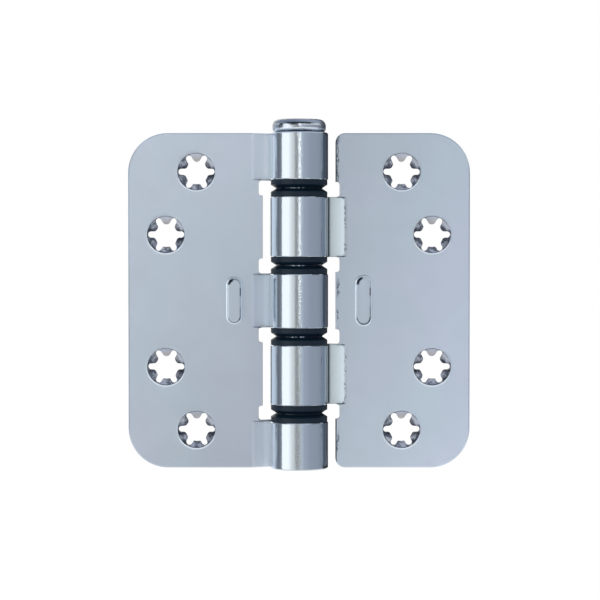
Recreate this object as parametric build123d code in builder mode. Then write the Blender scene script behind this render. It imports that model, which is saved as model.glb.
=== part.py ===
from build123d import *
import os
from math import asin, cos, degrees, radians, sin, tan

os.makedirs("parts", exist_ok=True)

# Round-corner butt hinge with five knuckles, lying open and flat.
# The origin is on the pin's axis at half the leaves' height. +Z points to the pin's head, the
# leaves spread along X, and the faces that meet when the hinge shuts look to -Y.
# The leaf with three knuckles lies on -X, the leaf with two knuckles on +X.

# Leaves
leaf_height = 89.0
leaf_reach = 45.4  # from the pin's axis to a leaf's outer edge
corner_radius = 10.5
sheet = 2.7
closed_gap = 1.2  # between the two leaves when the hinge is shut
notch_edge = 9.7  # from the pin's axis to a leaf's edge beside the other leaf's knuckles
relief_edge = 10.8  # the same beside the bearings, where the notch is cut deeper
relief_corner = 0.8
relief_short = 0.4  # how far that deeper cut stops short of the other leaf's knuckle
inner_corner = 2.5  # the two-knuckle leaf's corners beside the end knuckles
edge_break = 0.3  # on the leaves' front outline and the knuckles' ends

# Knuckles, rolled from the leaf's own sheet
bore_radius = 5.0
end_knuckle = 12.5
middle_knuckle = 14.4
bearing_gap = 4.4
joggle_angle = 21.0  # how steeply the sheet runs back from the leaf to the roll
bend_radius = 1.0  # inside radius of the bend between leaf and joggle
joggle_corner = 1.5
seam_gap = 0.4  # between the roll's free lip and the joggle

# Screw holes: a countersink, a round pilot, and three crossed slots punched through
inner_hole_x = 27.3
inner_hole_z = 34.3
outer_hole_x = 35.4
outer_hole_z = 17.6
rim_radius = 5.0
countersink_angle = 90.0
slot_width = 1.65
slot_reach = 4.87
pilot_radius = 3.0
pilot_drop = 0.3  # the pilot is punched this far below the slots' centre
tooth_round = 0.9
lowest_tooth_round = 0.3

# Security stud, half pierced from the three-knuckle leaf, and its pocket in the other leaf
stud_x = 17.2
stud_width = 3.6
stud_length = 11.9
stud_height = 1.9
stud_edge = 0.5
punch_clearance = 0.1  # the recess behind the stud is this much smaller all round
pocket_side_clearance = 0.125
pocket_end_clearance = 0.5
pocket_floor_clearance = 0.3

# Pin
pin_radius = 4.0
head_radius = 7.1
head_height = 3.7
head_crown = 0.35  # rise of the domed top
head_edge = 1.7
head_lower_edge = 1.2
shank_step = 0.5  # from a bush's inner end to the pin's thicker ends
rivet_recess = 0.5  # from the bottom knuckle's end up to the riveted pin end
rivet_chamfer = 0.6

# Bearings: a flanged bush in each knuckle end that faces a gap, a washer between two flanges
running_clearance = 0.05
press_clearance = 0.02
sleeve_space = 1.8  # between the two sleeves in the shortest knuckle that holds two
bush_lead_in = 0.3
flange_inset = 0.2  # how far the flange stays inside the knuckle's outside
flange_rim = 1.25
groove_depth = 1.2
washer_thickness = 0.25
washer_inset = 0.1  # how far the washer's rim stays inside the groove's bottom
washer_bore_clearance = 0.15

# Worked out from the sizes above
barrel_radius = bore_radius + sheet
half_height = leaf_height / 2
front_y = closed_gap / 2
back_y = front_y + sheet
seat_radius = bore_radius - press_clearance
flange_radius = barrel_radius - flange_inset
flange_height = (bearing_gap - washer_thickness) / 2 - running_clearance
groove_radius = flange_radius - groove_depth
bush_bore = pin_radius + running_clearance

# The joggle's front face lies bore_radius from the pin's axis, so it runs on into the roll.
joggle_x = (bore_radius - front_y * cos(radians(joggle_angle))) / sin(radians(joggle_angle))
bend_x = joggle_x + (bend_radius + sheet) * tan(radians(joggle_angle / 2))
bend_center = (bend_x, back_y + bend_radius)
roll_start = 90 - joggle_angle
roll_end = degrees(asin((bore_radius - seam_gap) / barrel_radius)) - joggle_angle
roll_sweep = 360 + roll_end - roll_start

# Knuckles, numbered from the top, each with its lower and upper end along Z
middle_top = middle_knuckle / 2
upper_bottom = middle_top + bearing_gap
top_bottom = half_height - end_knuckle
upper_top = top_bottom - bearing_gap
knuckle_1 = (top_bottom, half_height)
knuckle_2 = (upper_bottom, upper_top)
knuckle_3 = (-middle_top, middle_top)
knuckle_4 = (-upper_top, -upper_bottom)
knuckle_5 = (-half_height, -top_bottom)
bearing_gaps = [
    (upper_top, top_bottom),
    (middle_top, upper_bottom),
    (-upper_bottom, -middle_top),
    (-top_bottom, -upper_top),
]
bush_sleeve = (min(middle_knuckle, upper_top - upper_bottom) - sleeve_space) / 2

# The pin's ends along Z, and where its thicker parts stop short of the bushes
head_top = half_height + head_height
rivet_bottom = -half_height + rivet_recess
rivet_top = -top_bottom - bush_sleeve - shank_step
shoulder_bottom = top_bottom + bush_sleeve + shank_step

front_plane = Plane(origin=(0, front_y, 0), x_dir=(1, 0, 0), z_dir=(0, -1, 0))
back_plane = Plane(origin=(0, back_y, 0), x_dir=(1, 0, 0), z_dir=(0, -1, 0))
hole_places = [
    (inner_hole_x, inner_hole_z),
    (outer_hole_x, outer_hole_z),
    (outer_hole_x, -outer_hole_z),
    (inner_hole_x, -inner_hole_z),
]


def notch(edge, low, high, corner):
    """A cut from the barrel out to edge, rounded at its outer corners inside the leaf."""
    past_top = corner if high >= half_height else 0
    past_bottom = corner if low <= -half_height else 0
    with BuildSketch() as cut:
        with Locations((0, low - past_bottom)):
            Rectangle(edge, high - low + past_bottom + past_top, align=(Align.MIN, Align.MIN))
        fillet(cut.vertices().group_by(Axis.X)[-1], corner)
    return cut.sketch


def roll_section():
    """The sheet from the bend through the joggle and round the pin, for the leaf on +X."""
    with BuildSketch() as section:
        with BuildLine():
            front_bend = CenterArc(bend_center, bend_radius + sheet, -90, -joggle_angle)
            inside = CenterArc((0, 0), bore_radius, roll_start, roll_sweep)
            Line(front_bend @ 1, inside @ 0)
            outside = CenterArc((0, 0), barrel_radius, roll_end, -roll_sweep)
            Line(inside @ 1, outside @ 0)
            back_bend = CenterArc(bend_center, bend_radius, -90 - joggle_angle, joggle_angle)
            Line(outside @ 1, back_bend @ 0)
            Line(back_bend @ 1, front_bend @ 0)
        make_face()
    return section.sketch


def roll(low, high):
    """One knuckle with its joggle, its edges broken at both ends."""
    with BuildPart() as knuckle:
        with BuildSketch(Plane.XY.offset(low)):
            add(roll_section())
        extrude(amount=high - low)
        end_arcs = knuckle.edges().filter_by(GeomType.CIRCLE)
        chamfer(end_arcs.filter_by(lambda arc: arc.radius > bore_radius - edge_break), edge_break)
    return knuckle.part


def star():
    """The screw hole's outline: three crossed slots, and the round pilot below their centre."""
    with BuildSketch() as outline:
        with PolarLocations(0, 3, angular_range=180):
            SlotOverall(2 * slot_reach, slot_width)
        with Locations((0, -pilot_drop)):
            Circle(pilot_radius)
        reach = (pilot_radius + pilot_drop + slot_reach) / 2
        inner = lambda tip: Vector(tip.X, tip.Y).length < reach
        fillet(outline.vertices().filter_by(inner).sort_by(Axis.Y)[2:], tooth_round)
        fillet(outline.vertices().filter_by(inner).sort_by(Axis.Y)[:2], lowest_tooth_round)
    return outline.sketch


def rolled_leaf(knuckles, inner_corners):
    """A leaf for +X before its stud or pocket: flat sheet, notches, screw holes and rolls."""
    with BuildPart() as leaf:
        with BuildSketch(back_plane) as outline:
            with Locations((notch_edge, 0)):
                Rectangle(leaf_reach - notch_edge, leaf_height, align=(Align.MIN, Align.CENTER))
            fillet(outline.vertices().group_by(Axis.X)[-1], corner_radius)
            if inner_corners:
                fillet(outline.vertices().group_by(Axis.X)[0], inner_corner)
            for low, high in knuckles:
                add(notch(bend_x, low, high, joggle_corner), mode=Mode.SUBTRACT)
            for low, high in bearing_gaps:
                if any(high == knuckle_bottom for knuckle_bottom, _ in knuckles):
                    low += relief_short
                else:
                    high -= relief_short
                add(notch(relief_edge, low, high, relief_corner), mode=Mode.SUBTRACT)
            with Locations(*hole_places):
                add(star(), mode=Mode.SUBTRACT)
        extrude(amount=sheet)
        front_outline = leaf.faces().sort_by(Axis.Y)[0].outer_wire().edges()
        chamfer(front_outline.filter_by(lambda edge: edge.center().X > bend_x), edge_break)
        with Locations(*[front_plane * Location(place) for place in hole_places]):
            CounterSinkHole(pilot_radius - 2 * pilot_drop, rim_radius, sheet, countersink_angle)
        for low, high in knuckles:
            add(roll(low, high))
    return leaf.part


three_knuckle_blank = rolled_leaf([knuckle_1, knuckle_3, knuckle_5], inner_corners=False)
two_knuckle_blank = rolled_leaf([knuckle_2, knuckle_4], inner_corners=True)

with BuildPart() as leaf_three_knuckle:
    mirror(three_knuckle_blank, about=Plane.YZ)
    with BuildSketch(front_plane):
        with Locations((-stud_x, 0)):
            SlotOverall(stud_length, stud_width, rotation=90)
    extrude(amount=stud_height)
    stud_top = leaf_three_knuckle.faces().filter_by(Axis.Y).sort_by(Axis.Y)[0]
    fillet(stud_top.edges(), stud_edge)
    with BuildSketch(back_plane):
        with Locations((-stud_x, 0)):
            SlotOverall(stud_length - 2 * punch_clearance, stud_width - 2 * punch_clearance, rotation=90)
    extrude(amount=stud_height, mode=Mode.SUBTRACT)

leaf_three_knuckle.part.label = "leaf_three_knuckle"
export_step(leaf_three_knuckle.part, "parts/leaf_three_knuckle.step")

with BuildPart() as leaf_two_knuckle:
    add(two_knuckle_blank)
    pocket_depth = stud_height - closed_gap + pocket_floor_clearance
    with BuildSketch(front_plane):
        with Locations((stud_x, 0)):
            SlotOverall(
                stud_length + 2 * pocket_end_clearance,
                stud_width + 2 * pocket_side_clearance,
                rotation=90,
            )
    extrude(amount=-pocket_depth, mode=Mode.SUBTRACT)

leaf_two_knuckle.part.label = "leaf_two_knuckle"
export_step(leaf_two_knuckle.part, "parts/leaf_two_knuckle.step")

# The pin: its shoulder is pressed into the top knuckle, its riveted end into the bottom one.
with BuildPart() as hinge_pin:
    with BuildSketch(Plane.XZ) as pin_half:
        with BuildLine():
            Polyline(
                (0, head_top),
                (0, rivet_bottom),
                (seat_radius - rivet_chamfer, rivet_bottom),
                (seat_radius, rivet_bottom + rivet_chamfer),
                (seat_radius, rivet_top),
                (pin_radius, rivet_top),
                (pin_radius, shoulder_bottom),
                (seat_radius, shoulder_bottom),
                (seat_radius, half_height),
                (head_radius, half_height),
                (head_radius, head_top - head_crown),
            )
            TangentArc((0, head_top), (head_radius, head_top - head_crown), tangent=(1, 0))
        make_face()
        fillet(pin_half.vertices().group_by(Axis.X)[-1].sort_by(Axis.Y)[0], head_lower_edge)
        fillet(pin_half.vertices().group_by(Axis.X)[-1].sort_by(Axis.Y)[-1], head_edge)
    revolve(axis=Axis.Z)

hinge_pin.part.label = "hinge_pin"
export_step(hinge_pin.part, "parts/hinge_pin.step")

# Each bush by the knuckle that holds it: the Z of the knuckle's end, and the flange's side
bush_places = {
    "bush_k1_lower": (knuckle_1[0], -1),
    "bush_k2_upper": (knuckle_2[1], 1),
    "bush_k2_lower": (knuckle_2[0], -1),
    "bush_k3_upper": (knuckle_3[1], 1),
    "bush_k3_lower": (knuckle_3[0], -1),
    "bush_k4_upper": (knuckle_4[1], 1),
    "bush_k4_lower": (knuckle_4[0], -1),
    "bush_k5_upper": (knuckle_5[1], 1),
}

# A bush's half section, its flange upwards and the knuckle's end at zero
bush_outline = [
    (bush_bore, -bush_sleeve),
    (seat_radius - bush_lead_in, -bush_sleeve),
    (seat_radius, -bush_sleeve + bush_lead_in),
    (seat_radius, 0),
    (flange_radius, 0),
    (flange_radius, flange_rim),
    (groove_radius, flange_height),
    (bush_bore, flange_height),
]

for name, (knuckle_end, side) in bush_places.items():
    with BuildPart() as bush:
        with BuildSketch(Plane.XZ):
            with BuildLine():
                Polyline([(r, knuckle_end + side * z) for r, z in bush_outline], close=True)
            make_face()
        revolve(axis=Axis.Z)

    bush.part.label = name
    export_step(bush.part, f"parts/{name}.step")

for number, (low, high) in enumerate(bearing_gaps, start=1):
    with BuildPart() as thrust_washer:
        with BuildSketch(Plane.XY.offset((low + high) / 2)):
            Circle(groove_radius - washer_inset)
            Circle(pin_radius + washer_bore_clearance, mode=Mode.SUBTRACT)
        extrude(amount=washer_thickness / 2, both=True)

    thrust_washer.part.label = f"thrust_washer_{number}"
    export_step(thrust_washer.part, f"parts/thrust_washer_{number}.step")
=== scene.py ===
"""Round-corner butt hinge, open and flat, seen from the side that its leaves shut on.

Everything is in metres, in the frame of the solids: the pin's axis is Z with its head up, the
three-knuckle leaf lies on -X and the two-knuckle leaf on +X, and the faces that meet look to -Y.
"""

import math

import bpy
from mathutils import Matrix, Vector


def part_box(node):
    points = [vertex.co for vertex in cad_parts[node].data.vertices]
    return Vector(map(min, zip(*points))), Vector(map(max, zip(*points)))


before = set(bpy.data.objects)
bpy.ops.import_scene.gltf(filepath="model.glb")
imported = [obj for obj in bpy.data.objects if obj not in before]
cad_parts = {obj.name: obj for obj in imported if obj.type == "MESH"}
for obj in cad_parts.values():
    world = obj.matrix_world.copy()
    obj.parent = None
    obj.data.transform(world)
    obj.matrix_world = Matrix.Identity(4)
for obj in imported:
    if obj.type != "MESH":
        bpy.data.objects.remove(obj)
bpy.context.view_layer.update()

MM = 0.001

# The view: nearly square on, a little above mid height, with a long lens
VIEW_DISTANCE = 540 * MM
VIEW_HEIGHT = 14 * MM
VIEW_ASIDE = 0.25 * MM
VIEW_AIM = 0.18 * MM  # the height that the lens looks at
SHOWN_WIDTH = 159.5 * MM  # what the picture's width takes in at the leaves' faces
SENSOR = 36.0
CLIP_START, CLIP_END = 0.01, 50.0

# The hinge's own places that the finishes follow
BARREL_RADIUS = 7.7 * MM
FRONT_FACE, BACK_FACE = 0.6 * MM, 3.3 * MM
LEAF_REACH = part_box("leaf_two_knuckle")[1].x
JOGGLE_EDGE = 12.4 * MM  # where the leaf's face bends back towards the barrel
JOGGLE_SLOPE = 0.384  # how far back it then runs for each length towards the barrel
INNER_HOLE = (27.3 * MM, 34.3 * MM)
OUTER_HOLE = (35.4 * MM, 17.6 * MM)
BETWEEN_HOLES = 26 * MM  # a height between those of the outer and the inner holes
RIM_RADIUS = 5.0 * MM
MARK_X = 17.2 * MM  # the stud's and the pocket's distance from the pin's axis
STUD_RADIUS, STUD_STRAIGHT = 1.8 * MM, 4.15 * MM
POCKET_RADIUS, POCKET_STRAIGHT = 1.925 * MM, 4.525 * MM
TAB_MIDDLE, TAB_HALF = 19.6 * MM, 8.0 * MM  # the two-knuckle leaf's rolls along Z
TAB_EDGE, TAB_CORNER = 12.1 * MM, 1.6 * MM  # how far the painted light on their faces goes
EDGE_MARK_LINE = 10.3 * MM  # where dark marks run, beside the two-knuckle leaf's inner edge
HEAD_MIDDLE = 46.2 * MM

# The studio round the hinge. Directions are degrees round Z from the camera, to the right.
LAMP_RADIUS = 0.6
CARD_RADIUS = 0.65
CARD_REACH = 0.16  # how far the upright cards go up and down from mid height
CARD_STEP = 3  # degrees between a card's corners, at most about
OVERHEAD_HEIGHT, OVERHEAD_HALF = 0.45, 0.6
FLOOR_DROP, FLOOR_HALF = 0.2, 6.0
FLOOR_GLOW = 1.03  # just enough for a white picture
FLOOR_GLOW_SHARE = 0.88  # the rest is painted, and takes the hinge's shadow
COOL = (0.92, 1.0, 1.18)
PLAIN = (1.0, 1.0, 1.0)


def colour(red, green, blue):
    return (red, green, blue, 1.0)


WHITE = colour(1, 1, 1)
FLOOR_GREY = colour(0.9, 0.9, 0.9)

# Base colours of the plated sheet
ZINC, ZINC_VIOLET = colour(0.545, 0.626, 0.700), colour(0.562, 0.619, 0.710)
# The rolls' paler colour is a painted highlight for their left rim
ZINC_ROLLED, ROLLED_HIGHLIGHT = colour(0.56, 0.62, 0.66), colour(0.82, 0.89, 0.95)
# Painted light on the left leaf's ledges and folds
LEDGE_PAINTED_LIGHT, FOLD_PAINTED_LIGHT = colour(0.80, 0.86, 0.92), colour(0.81, 0.85, 0.91)
# Painted light on the right leaf's tabs
TAB_LIGHT_INNER, TAB_LIGHT_OUTER = colour(0.83, 0.95, 1.0), colour(0.80, 0.92, 1.0)
# Dark marks beside the right leaf's inner edge, and painted shade round its tabs
EDGE_MARK_DARK, TAB_OUTLINE_SHADE = colour(0.10, 0.12, 0.16), colour(0.12, 0.14, 0.18)
# Painted shade in the crease beside the rolls and on their right rim
CREASE_SHADE = colour(0.02, 0.03, 0.06)
# Painted highlight and painted shade round the stud and the pocket
MARK_HIGHLIGHT, MARK_SHADE = colour(0.80, 0.90, 1.0), colour(0.03, 0.04, 0.06)
CONE_DARK, CONE_PALE = colour(0.20, 0.23, 0.28), colour(0.72, 0.75, 0.82)
# Painted light on the countersinks' upper teeth
TOOTH_LIGHT_INNER, TOOTH_LIGHT_OUTER = colour(0.62, 0.62, 0.64), colour(0.54, 0.58, 0.67)
SLOT_DARK = colour(0.05, 0.06, 0.09)
# Painted shade inside the countersinks' rims, and a painted highlight below them
RIM_SHADE, RIM_HIGHLIGHT = colour(0.06, 0.07, 0.10), colour(0.85, 0.93, 1.0)
SHEARED, TORN = colour(0.36, 0.39, 0.43), colour(0.16, 0.175, 0.20)

# Base colours of the pin, the bushes and the washers
PIN_HOLLOW, PIN_RAISED = colour(0.50, 0.555, 0.61), colour(0.58, 0.63, 0.68)
# Painted shade and painted light on the pin's head
PIN_SHADE, PIN_LOWER_LIGHT = colour(0.10, 0.13, 0.18), colour(0.66, 0.71, 0.78)
POLYMER, POLYMER_PALE = colour(0.000, 0.007, 0.016), colour(0.002, 0.011, 0.025)
# Painted shade on the washers, and a painted glint at their front
WASHER_SHADE, WASHER_GLINT = colour(0.02, 0.026, 0.034), colour(0.48, 0.55, 0.63)


class Reading:
    """A number or colour read in a node tree. Arithmetic on it adds Math nodes."""

    def __init__(self, nodes, socket):
        self.nodes, self.socket = nodes, socket

    def math(self, operation, *values):
        return self.nodes.add("ShaderNodeMath", {"operation": operation}, dict(enumerate(values)))

    def __add__(self, other):
        return self.math("ADD", self, other)

    __radd__ = __add__

    def __sub__(self, other):
        return self.math("SUBTRACT", self, other)

    def __rsub__(self, other):
        return self.math("SUBTRACT", other, self)

    def __mul__(self, other):
        return self.math("MULTIPLY", self, other)

    __rmul__ = __mul__

    def __abs__(self):
        return self.math("ABSOLUTE", self)

    def least(self, other):
        return self.math("MINIMUM", self, other)

    def most(self, other):
        return self.math("MAXIMUM", self, other)

    def sign(self):
        return self.math("SIGN", self)

    def above(self, limit):
        """1 above the limit and 0 below it."""
        return self.math("GREATER_THAN", self, limit)

    def root(self):
        return self.math("SQRT", self)

    def hypotenuse(self, other):
        return (self * self + other * other).root()

    def rise(self, low, high):
        """0 at low and 1 at high, with a soft start and end; falls where low is the larger."""
        limits = {"Value": self, "From Min": low, "From Max": high}
        return self.nodes.add("ShaderNodeMapRange", {"interpolation_type": "SMOOTHSTEP"}, limits)

    def rise_mm(self, low, high):
        """The same for a length, with its limits in millimetres."""
        return self.rise(low * MM, high * MM)

    def band_mm(self, start, full, fading, end):
        """Rises between the first two limits and falls between the last two, in millimetres."""
        return self.rise_mm(start, full) * self.rise_mm(end, fading)


class Nodes:
    """Builds one node tree, for a finish, a stage surface or the world."""

    def __init__(self, tree):
        self.tree = tree
        tree.nodes.clear()

    def add(self, kind, settings=None, inputs=None, output=0):
        """Adds a node: its settings first, then a value or a link for each input."""
        node = self.tree.nodes.new(kind)
        for name, value in (settings or {}).items():
            setattr(node, name, value)
        for name, value in (inputs or {}).items():
            if isinstance(value, Reading):
                self.tree.links.new(value.socket, node.inputs[name])
            else:
                node.inputs[name].default_value = value
        return Reading(self, node.outputs[output]) if len(node.outputs) else node

    def place(self):
        return self.add("ShaderNodeTexCoord", output="Object")

    def facing(self):
        return self.add("ShaderNodeTexCoord", output="Normal")

    def parts_of(self, vector):
        return [self.add("ShaderNodeSeparateXYZ", inputs={0: vector}, output=axis)
                for axis in "XYZ"]

    def scaled(self, vector, scale):
        return self.add("ShaderNodeVectorMath", {"operation": "SCALE"}, {0: vector, "Scale": scale})

    def stretched(self, vector, factors):
        return self.add("ShaderNodeVectorMath", {"operation": "MULTIPLY"}, {0: vector, 1: factors})

    def noise_mm(self, vector, size, detail=2.0, roughness=0.5):
        """Cloudy noise between 0 and 1, with patches of about that size in millimetres."""
        values = {
            "Vector": vector, "Scale": 1 / (size * MM), "Detail": detail, "Roughness": roughness,
        }
        return self.add("ShaderNodeTexNoise", inputs=values)

    def blend(self, factor, first, second):
        colours = {"Factor": factor, 6: first, 7: second}
        return self.add("ShaderNodeMix", {"data_type": "RGBA"}, colours, output=2)

    def painted(self, shade, layers):
        """Lays each colour over the shade, one after another; layers are (share, colour)."""
        for share, tint in layers:
            shade = self.blend(share, shade, tint)
        return shade

    def bump(self, height):
        """Relief from a height in metres."""
        values = {"Height": height, "Distance": 1.0, "Strength": 1.0}
        return self.add("ShaderNodeBump", inputs=values)

    def seen(self):
        """1 for rays from the camera and for what polished metal mirrors, otherwise 0."""
        rays = [self.add("ShaderNodeLightPath", output=name)
                for name in ("Is Camera Ray", "Is Glossy Ray", "Is Transmission Ray")]
        return rays[0].most(rays[1]).most(rays[2])


def finish(name):
    """A new material with its node tree."""
    material = bpy.data.materials.new(name)
    material.use_nodes = True
    return material, Nodes(material.node_tree)


def surface(nodes, **sockets):
    """Ends a finish in a Principled surface; a socket's name is written with underscores."""
    values = {name.replace("_", " "): value for name, value in sockets.items()}
    body = nodes.add("ShaderNodeBsdfPrincipled", inputs=values)
    nodes.add("ShaderNodeOutputMaterial", inputs={"Surface": body})


class Sheet:
    """Where on a leaf a point lies. A mask is 1 inside the part that it names, 0 outside."""

    def __init__(self, nodes):
        self.nodes = nodes
        self.place = nodes.place()
        self.x, self.y, self.z = nodes.parts_of(self.place)
        self.across, self.along = abs(self.x), abs(self.z)
        self.behind = self.y - FRONT_FACE
        self.from_tab = abs(self.along - TAB_MIDDLE)
        self.left = self.x.rise_mm(1, 0)
        self.right = 1 - self.left

        # The limit of the front follows the joggles back, so what is painted stays off the rear
        joggled = (self.across - JOGGLE_EDGE).least(0.0) * JOGGLE_SLOPE
        self.front = (self.behind + joggled).rise_mm(1.2, 0.8)
        self.barrel = (self.x.hypotenuse(self.y) - BARREL_RADIUS).rise_mm(0.9, 0.1)
        self.barrel_front = self.barrel * self.y.rise_mm(0, -1)
        self.flat = 1 - self.barrel

        # The cut edges, apart from the left leaf's ledges beside the joggles and the stud's wall
        self.upright = abs(nodes.parts_of(nodes.facing())[1]).rise(0.5, 0.3)
        step = self.across.band_mm(10.7, 10.9, 13.3, 13.6) * self.left
        stud_wall = self.behind.rise_mm(0, -0.1) * self.across.rise_mm(12, 13)
        # The ledges are painted light further on, in place of the cut edges' colour
        self.ledge = self.upright * self.flat * step
        self.sheared = self.upright * self.flat * (1 - step) * (1 - stud_wall)
        self.uncut = 1 - self.sheared
        wander = self.noise(1.2) * (1.2 * MM)
        self.torn = self.sheared * (self.behind + wander).rise_mm(1.3, 1.9)

        set_back = (self.across - JOGGLE_EDGE).rise_mm(0, -0.6) * self.behind.rise_mm(0.02, 0.2)
        self.joggle = set_back * self.front * self.flat * self.uncut

    def noise(self, size, **settings):
        return self.nodes.noise_mm(self.place, size, **settings)


def joggle_layers(sheet):
    """Painted light on the left leaf's ledges and folds; dark marks beside the right leaf's inner
    edge; painted light on its tabs, with painted shade round them.

    Gives the layers of colour, and the mask of the tabs' painted light.
    """
    # Painted light on the left leaf's folds, stronger near the top and beside the rolls
    fold = sheet.left * sheet.across.rise_mm(13.1, 12.0) * sheet.behind.rise_mm(0, 0.05)
    fold = fold * sheet.front * sheet.flat
    fold = fold * (0.4 + sheet.z.rise_mm(28, 34) * 0.35 + sheet.across.rise_mm(9.8, 9.0) * 0.25)

    # Dark ragged marks beside the right leaf's inner edge, more of them near the top
    astray = (sheet.noise(0.9, detail=3.0, roughness=0.7) - 0.5) * (2.2 * MM)
    edge_marks = abs(sheet.x - EDGE_MARK_LINE + astray).rise_mm(0.26, 0.12)
    edge_marks = edge_marks * sheet.front * (1 - sheet.joggle) * sheet.uncut
    edge_marks = edge_marks * (sheet.noise(5, detail=1.0) + sheet.z.rise_mm(30, 36) * 0.4).rise(0.45, 0.6)

    # Painted light on the right leaf's tabs, with rounded outer corners
    past_side = (sheet.across - (TAB_EDGE - TAB_CORNER)).most(0.0)
    past_end = (sheet.from_tab - (TAB_HALF - TAB_CORNER)).most(0.0)
    past_tab = past_side.hypotenuse(past_end) - TAB_CORNER
    tab_light = sheet.joggle * sheet.x.rise_mm(7.6, 8.6) * past_tab.rise_mm(0.2, -0.2)
    tab_light_tint = sheet.nodes.blend(sheet.across.rise_mm(9.5, 12), TAB_LIGHT_INNER, TAB_LIGHT_OUTER)

    # Painted shade in patches along the outline of the right leaf's tabs
    tab_outline_shade = sheet.right * past_tab.band_mm(-0.3, 0, 0.3, 0.7)
    tab_outline_shade = tab_outline_shade * (sheet.from_tab - TAB_HALF).rise_mm(0.4, 0)
    tab_outline_shade = tab_outline_shade * sheet.front * sheet.flat * sheet.uncut
    tab_outline_shade = tab_outline_shade * sheet.noise(0.7, detail=1.0).rise(0.48, 0.6)
    tab_outline_shade = tab_outline_shade * sheet.noise(4).rise(0.45, 0.55)

    layers = [
        (sheet.ledge * 0.9, LEDGE_PAINTED_LIGHT),
        (fold, FOLD_PAINTED_LIGHT),
        (edge_marks * 0.8, EDGE_MARK_DARK),
        (tab_light, tab_light_tint),
        (tab_outline_shade * 0.7, TAB_OUTLINE_SHADE),
    ]
    return layers, tab_light


def barrel_layers(sheet):
    """The rolls, with a painted highlight at the left rim, and painted shade in the crease where
    the right leaf joins them and on their right rim.
    """
    # Painted highlight on the left rim of the rolls' front
    left_rim_highlight = sheet.barrel_front * sheet.x.rise_mm(-5.9, -6.6)
    # Painted shade in the crease beside the right leaf's tabs and on the rolls' right rim
    crease = sheet.joggle * sheet.right * sheet.across.rise_mm(8.2, 7.9)
    further_out = sheet.from_tab.rise_mm(9.5, 9.0) * (0.75 * MM)
    right_rim_shade = sheet.barrel * (sheet.x - further_out).rise_mm(6.0, 6.6)
    return [
        (sheet.barrel, ZINC_ROLLED),
        (left_rim_highlight * 0.7, ROLLED_HIGHLIGHT),
        (crease.most(right_rim_shade * 0.8) * 0.9, CREASE_SHADE),
    ]


def mark_layers(sheet):
    """The lines round the stud and the pocket, in painted highlight and painted shade.

    Gives the layers of colour, and the masks of the raised lip and of the painted highlight on the
    left side.
    """
    def past_oblong(straight, radius):
        past_end = (sheet.along - straight).most(0.0)
        return (sheet.across - MARK_X).hypotenuse(past_end) - radius

    stud = sheet.left * past_oblong(STUD_STRAIGHT, STUD_RADIUS)
    past = stud + sheet.right * past_oblong(POCKET_STRAIGHT, POCKET_RADIUS)
    beside = sheet.x - MARK_X + sheet.left * (2 * MARK_X)
    near = (sheet.behind - sheet.right * (1.0 * MM)).rise_mm(0.3, 0.2)
    lip = near * past.band_mm(-0.10, 0, 0.10, 0.45)
    # Painted highlight along the left side of the stud and the pocket
    mark_highlight = near * past.band_mm(-0.25, -0.1, 0.2, 0.3) * beside.rise_mm(-0.9, -1.3)

    # Painted shade: an arc at the top left, dashes at the right and a line at the foot
    arc = beside.rise_mm(0.1, -0.6) * sheet.z.rise_mm(4.0, 4.6)
    upper_dash = sheet.z.band_mm(0.9, 1.6, 3.2, 3.7)
    lower_dash = sheet.z.rise_mm(-0.8, -2.5) * 0.5
    dashes = beside.rise_mm(1.2, 1.4) * (upper_dash + lower_dash)
    foot = sheet.z.rise_mm(-4.2, -4.7) * 0.7
    dark = arc * past.band_mm(-0.95, -0.6, -0.1, -0.02)
    dark = dark + (dashes + foot) * past.band_mm(-0.4, -0.25, -0.1, -0.02)

    # The lip is painted light too, besides its relief
    layers = [(lip.most(mark_highlight) * 0.7, MARK_HIGHLIGHT), (near * dark, MARK_SHADE)]
    return layers, lip, mark_highlight


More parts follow.
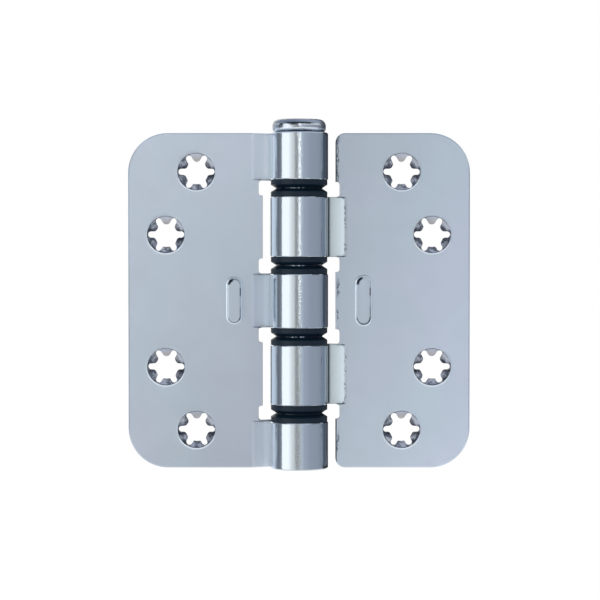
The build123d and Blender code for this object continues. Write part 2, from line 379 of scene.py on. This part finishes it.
def hole_layers(sheet):
    """The countersinks with their teeth and slots, with painted light on the upper teeth, painted
    shade just inside the rims and a painted highlight below them.

    Gives the layers of colour, and the masks of the cone, the teeth painted light and the rim's
    lip.
    """
    inner = sheet.along.above(BETWEEN_HOLES)
    out = sheet.across - OUTER_HOLE[0] + inner * (OUTER_HOLE[0] - INNER_HOLE[0])
    up = sheet.along - OUTER_HOLE[1] - inner * (INNER_HOLE[1] - OUTER_HOLE[1])
    from_middle = out.hypotenuse(up)
    past_rim = from_middle - RIM_RADIUS
    rightward, upward = out * sheet.x.sign(), up * sheet.z.sign()
    sloping = 1 - sheet.upright

    cone = past_rim.rise_mm(0.03, -0.05) * sloping * (sheet.y - BACK_FACE).rise_mm(-0.02, -0.1)
    by_slot = cone * abs(up).rise_mm(2.3, 0.9)
    # Painted light on the upper teeth, which are also less metallic
    tooth_light = (upward * 0.9 + rightward * 0.45 - from_middle * 0.65).rise_mm(-0.5, 0.5)
    tooth_light = tooth_light * cone
    tooth_light = tooth_light * abs(out).rise_mm(1.8, 1.5).most(from_middle.rise_mm(3.7, 4.2))
    # Painted shade just inside the rims at top and bottom, and a painted highlight just outside
    # them below each hole
    rim_shade = cone * past_rim.rise_mm(-0.35, -0.15) * abs(upward).rise_mm(1.5, 3.5)
    rim_highlight = past_rim.band_mm(-0.05, 0, 0.2, 0.4) * upward.rise_mm(-1.0, -3.5)
    rim_highlight = rim_highlight * sheet.front * sloping
    rim_lip = past_rim.band_mm(-0.1, 0, 0.1, 0.5) * sheet.front

    mottling = sheet.noise(1.3, detail=3.0, roughness=0.6).rise(0.38, 0.62)
    cone_tint = sheet.nodes.blend(mottling, CONE_DARK, CONE_PALE)
    tooth_light_tint = sheet.nodes.blend(from_middle.rise_mm(3.8, 4.3), TOOTH_LIGHT_INNER, TOOTH_LIGHT_OUTER)
    layers = [
        (cone, cone_tint),
        (by_slot * 0.7, SLOT_DARK),
        (tooth_light, tooth_light_tint),
        (rim_shade * 0.65, RIM_SHADE),
        (rim_highlight * 0.8, RIM_HIGHLIGHT),
    ]
    return layers, cone, tooth_light, rim_lip


def plated_sheet():
    """Zinc-plated sheet: satin leaves, rolled bright round the pin, sheared at the edges."""
    material, n = finish("plated_sheet_finish")
    sheet = Sheet(n)
    on_joggles, tab_light = joggle_layers(sheet)
    at_marks, mark_lip, mark_highlight = mark_layers(sheet)
    in_holes, cone, tooth_light, rim_lip = hole_layers(sheet)
    at_edges = [(sheet.sheared * 0.7, SHEARED), (sheet.torn * 0.8, TORN)]

    clouds = sheet.noise(9, detail=3.0)
    specks = sheet.noise(0.6, detail=3.0, roughness=0.6)
    striations = n.noise_mm(n.stretched(sheet.place, (1.0, 0.08, 1.0)), 0.18)

    # Painted light: lighter towards the outer edges and away from the rolls, at the left leaf's top
    # and at the right leaf's foot
    painted_edge_light = (sheet.across - LEAF_REACH).rise_mm(-24, 0) * 0.08
    level = 0.88 + clouds * 0.1 + painted_edge_light + sheet.across.rise_mm(8, 24) * 0.05
    level = level + (sheet.left * 2 - 1) * (sheet.z * 2.0 + 0.005)
    hue = sheet.noise(24, detail=1.0).rise(0.35, 0.65)
    shade = n.scaled(n.blend(hue, ZINC, ZINC_VIOLET), level)
    shade = n.painted(shade, on_joggles + barrel_layers(sheet) + at_marks + in_holes + at_edges)

    rough = 0.36 + clouds * 0.06 + specks * 0.04 + sheet.torn * 0.25
    rough = rough - cone * 0.16 - mark_highlight * 0.22
    rough = rough * sheet.flat + sheet.barrel * (0.09 + specks * 0.05)

    pitted = sheet.barrel_front * sheet.across.rise_mm(1.8, 0.9)
    coarse = sheet.flat * (0.02 * MM) + sheet.barrel * (0.01 * MM) + pitted * (0.02 * MM)
    grain = specks * coarse + sheet.noise(0.35, detail=1.0) * pitted * (0.025 * MM)
    lips = rim_lip * (0.05 * MM) + mark_lip * (0.12 * MM)
    scores = striations * sheet.sheared * (0.04 * MM)
    relief = n.bump(grain + lips + scores)

    # Less metallic where light is painted: on the tabs, the upper teeth of the countersinks and the
    # ledges
    metal = 1 - tab_light - tooth_light * 0.5 - sheet.ledge * 0.6
    surface(n, Base_Color=shade, Metallic=metal, Roughness=rough, Normal=relief)
    return material


def plated_pin():
    """The pin's button head: bright plating over small dents from the heading die, with painted
    shade at the top of its rim and at its left and right sides, and painted light on its lower
    part.
    """
    material, n = finish("plated_pin_finish")
    place = n.place()
    x, y, z = n.parts_of(place)
    height = z - HEAD_MIDDLE
    # Painted shade at the top of the head's rim and at its left and right sides
    side = x.hypotenuse(y).rise_mm(5.0, 5.8)
    top_band = side * height.rise_mm(0.2, 0.9) * (0.6 + x.rise_mm(3, -3) * 0.4)
    left_end = x.rise_mm(-3.5, -6) * height.rise_mm(-1.2, -0.6)
    right_end = x.rise_mm(4.5, 6.5)
    dark = (top_band * 0.75).most((left_end * 0.5).most(right_end * 0.45))
    dents = n.noise_mm(place, 2.2, detail=1.0)
    specks = n.noise_mm(place, 0.5)

    shade = n.blend(dents, PIN_HOLLOW, PIN_RAISED)
    # Painted light on the lower part of the head
    shade = n.painted(shade, [(dark, PIN_SHADE), (height.rise_mm(-0.4, -0.8), PIN_LOWER_LIGHT)])
    rounding = height * height * (0.1 / MM)
    relief = n.bump(dents * (0.14 * MM) + specks * (0.015 * MM) - rounding)
    rough = 0.14 + specks * 0.08 + right_end * 0.25
    surface(n, Base_Color=shade, Metallic=1.0, Roughness=rough, Normal=relief)
    return material


def bearing_polymer():
    """Black moulded bearing polymer with a soft sheen."""
    material, n = finish("bearing_polymer_finish")
    specks = n.noise_mm(n.place(), 0.4, detail=3.0)
    shade = n.blend(specks, POLYMER, POLYMER_PALE)
    relief = n.bump(specks * (0.02 * MM))
    rough = 0.34 + specks * 0.12
    surface(n, Base_Color=shade, Roughness=rough, Specular_IOR_Level=0.25, Normal=relief)
    return material


def washer_steel():
    """Thin steel in painted shade all round, with a painted glint at the front, most in the third
    groove.
    """
    material, n = finish("washer_steel_finish")
    place = n.place()
    x, y, z = n.parts_of(place)
    specks = n.noise_mm(place, 0.5, detail=3.0)
    # A painted glint at the front of each washer, none on the lowest and weaker higher up
    glint = abs(x + 0.4 * MM).rise_mm(2.1, 1.3) * y.rise_mm(0, -1)
    by_groove = 1 - z.rise_mm(-2, 2) * 0.35 - z.rise_mm(15, 22) * 0.25
    glint = glint * z.rise_mm(-22, -15) * by_groove
    shade = n.blend(specks.rise(0.44, 0.54) * glint, WASHER_SHADE, WASHER_GLINT)
    surface(n, Base_Color=shade, Metallic=1.0, Roughness=0.08 + specks * 0.1)
    return material


def direction(azimuth):
    """Points from the hinge towards a place in the studio."""
    turn = math.radians(azimuth)
    return Vector((math.sin(turn), -math.cos(turn), 0.0))


def lamp(name, azimuth, width, low, high, brightness):
    """An upright soft lamp that faces the hinge, width in degrees and low and high in metres."""
    light = bpy.data.lights.new(name, "AREA")
    light.shape = "RECTANGLE"
    light.size = 2 * LAMP_RADIUS * math.tan(math.radians(width / 2))
    light.size_y = high - low
    light.energy = brightness * math.pi * light.size * light.size_y
    holder = bpy.data.objects.new(name, light)
    holder.location = direction(azimuth) * LAMP_RADIUS + Vector((0, 0, (low + high) / 2))
    holder.rotation_euler = (-direction(azimuth)).to_track_quat("-Z", "Y").to_euler()
    holder.visible_camera = False
    bpy.context.scene.collection.objects.link(holder)


def stage_piece(name, corners, faces, material):
    mesh = bpy.data.meshes.new(name)
    mesh.from_pydata(corners, [], faces)
    mesh.materials.append(material)
    piece = bpy.data.objects.new(name, mesh)
    bpy.context.scene.collection.objects.link(piece)
    return piece


def card_finish():
    """A card glows by the brightness kept at its corners."""
    material, n = finish("card_finish")
    level = n.add("ShaderNodeAttribute", {"attribute_name": "brightness"}, output="Color")
    glow = n.add("ShaderNodeEmission", inputs={"Color": level, "Strength": 1.0})
    n.add("ShaderNodeOutputMaterial", inputs={"Surface": glow})
    return material


def card(name, corners, faces, levels, tint, material):
    """A card that lights nothing and casts no shadow: only polished metal shows it."""
    piece = stage_piece(name, corners, faces, material)
    shades = piece.data.color_attributes.new("brightness", "FLOAT_COLOR", "POINT")
    for shade, level in zip(shades.data, levels):
        shade.color = colour(*(level * part for part in tint))
    piece.visible_camera = False
    piece.visible_diffuse = False
    piece.visible_shadow = False


def upright_card(name, stops, tint, material, low=-CARD_REACH, high=CARD_REACH):
    """A card bent round the hinge; stops are (azimuth, brightness) from left to right."""
    turns, levels = [], []
    for (start, first), (end, last) in zip(stops, stops[1:]):
        steps = max(1, round((end - start) / CARD_STEP))
        turns += [start + (end - start) * i / steps for i in range(steps)]
        levels += [first + (last - first) * i / steps for i in range(steps)]
    turns.append(stops[-1][0])
    levels.append(stops[-1][1])
    feet = [direction(turn) * CARD_RADIUS for turn in turns]
    corners = [(foot.x, foot.y, height) for height in (low, high) for foot in feet]
    count = len(feet)
    faces = [(i, i + 1, count + i + 1, count + i) for i in range(count - 1)]
    card(name, corners, faces, levels + levels, tint, material)


def overhead_card(name, front, rear, level, material):
    """A level card over the hinge, from front to rear along Y."""
    places = [(-OVERHEAD_HALF, front), (OVERHEAD_HALF, front),
              (OVERHEAD_HALF, rear), (-OVERHEAD_HALF, rear)]
    corners = [(x, y, OVERHEAD_HEIGHT) for x, y in places]
    card(name, corners, [(0, 1, 2, 3)], [level] * 4, COOL, material)


def white_floor():
    """A floor that looks white to the camera and in metal, and still takes a soft shadow."""
    material, n = finish("floor_finish")
    paint = n.add("ShaderNodeBsdfDiffuse", inputs={"Color": FLOOR_GREY})
    glow = n.add("ShaderNodeEmission", inputs={"Color": WHITE, "Strength": FLOOR_GLOW})
    both = n.add("ShaderNodeMixShader", inputs={0: n.seen() * FLOOR_GLOW_SHARE, 1: paint, 2: glow})
    n.add("ShaderNodeOutputMaterial", inputs={"Surface": both})
    places = [(-FLOOR_HALF, -FLOOR_HALF), (FLOOR_HALF, -FLOOR_HALF),
              (FLOOR_HALF, FLOOR_HALF), (-FLOOR_HALF, FLOOR_HALF)]
    stage_piece("floor", [(x, y, -FLOOR_DROP) for x, y in places], [(0, 1, 2, 3)], material)


def white_world():
    world = bpy.data.worlds.new("studio_world")
    bpy.context.scene.world = world
    world.use_nodes = True
    n = Nodes(world.node_tree)
    air = n.add("ShaderNodeBackground", inputs={"Color": WHITE, "Strength": 1.0})
    n.add("ShaderNodeOutputWorld", inputs={"Surface": air})


def studio():
    white_floor()
    white_world()
    lamp("softbox_left", azimuth=-55, width=34, low=-0.4, high=0.4, brightness=1.5)
    lamp("strip_front", azimuth=2.0, width=5.5, low=-0.02, high=0.35, brightness=1.8)

    paper = card_finish()
    upright_card(
        "card_left",
        [(-133, 0.95), (-116, 0.74), (-103, 0.45), (-91, 0.20), (-80, 0.30), (-74, 0.38),
         (-73, 0.06), (-38, 0.06)],
        COOL, paper,
    )
    upright_card(
        "card_front",
        [(-37, 1.4), (-27, 1.03), (-19, 0.68), (-11, 0.43), (-3, 0.45), (4, 0.6), (8, 0.75)],
        PLAIN, paper,
    )
    upright_card(
        "card_right",
        [(8, 0.75), (21, 0.60), (33, 0.53), (46, 0.48), (73, 0.46), (88, 0.43), (106, 0.34),
         (112, 0.24)],
        COOL, paper,
    )
    upright_card(
        "card_right_rear", [(112, 0.22), (120, 0.06), (176, 0.03)], COOL, paper, low=-0.7, high=0.7,
    )
    upright_card("card_high_left", [(-100, 0.04), (-10, 0.04)], COOL, paper, low=0.17, high=0.46)
    overhead_card("card_overhead_front", -0.6, -0.1, 0.08, paper)
    overhead_card("card_overhead_rear", -0.1, 0.6, 0.70, paper)


def camera():
    lens = bpy.data.cameras.new("camera")
    lens.sensor_width = SENSOR
    lens.lens = SENSOR * (VIEW_DISTANCE + FRONT_FACE) / SHOWN_WIDTH
    lens.clip_start, lens.clip_end = CLIP_START, CLIP_END
    holder = bpy.data.objects.new("camera", lens)
    holder.location = (VIEW_ASIDE, -VIEW_DISTANCE, VIEW_HEIGHT)
    aim = Vector((VIEW_ASIDE, FRONT_FACE, VIEW_AIM)) - holder.location
    holder.rotation_euler = aim.to_track_quat("-Z", "Y").to_euler()
    bpy.context.scene.collection.objects.link(holder)
    bpy.context.scene.camera = holder


def dress():
    """Gives each node its finish, by the first word of its name."""
    finishes = {
        "leaf": plated_sheet(),
        "hinge": plated_pin(),
        "bush": bearing_polymer(),
        "thrust": washer_steel(),
    }
    for name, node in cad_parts.items():
        kind = name.split("_")[0]
        for slot in node.material_slots:
            slot.material = finishes[kind]


dress()
studio()
camera()
bpy.context.scene.view_settings.view_transform = "Standard"
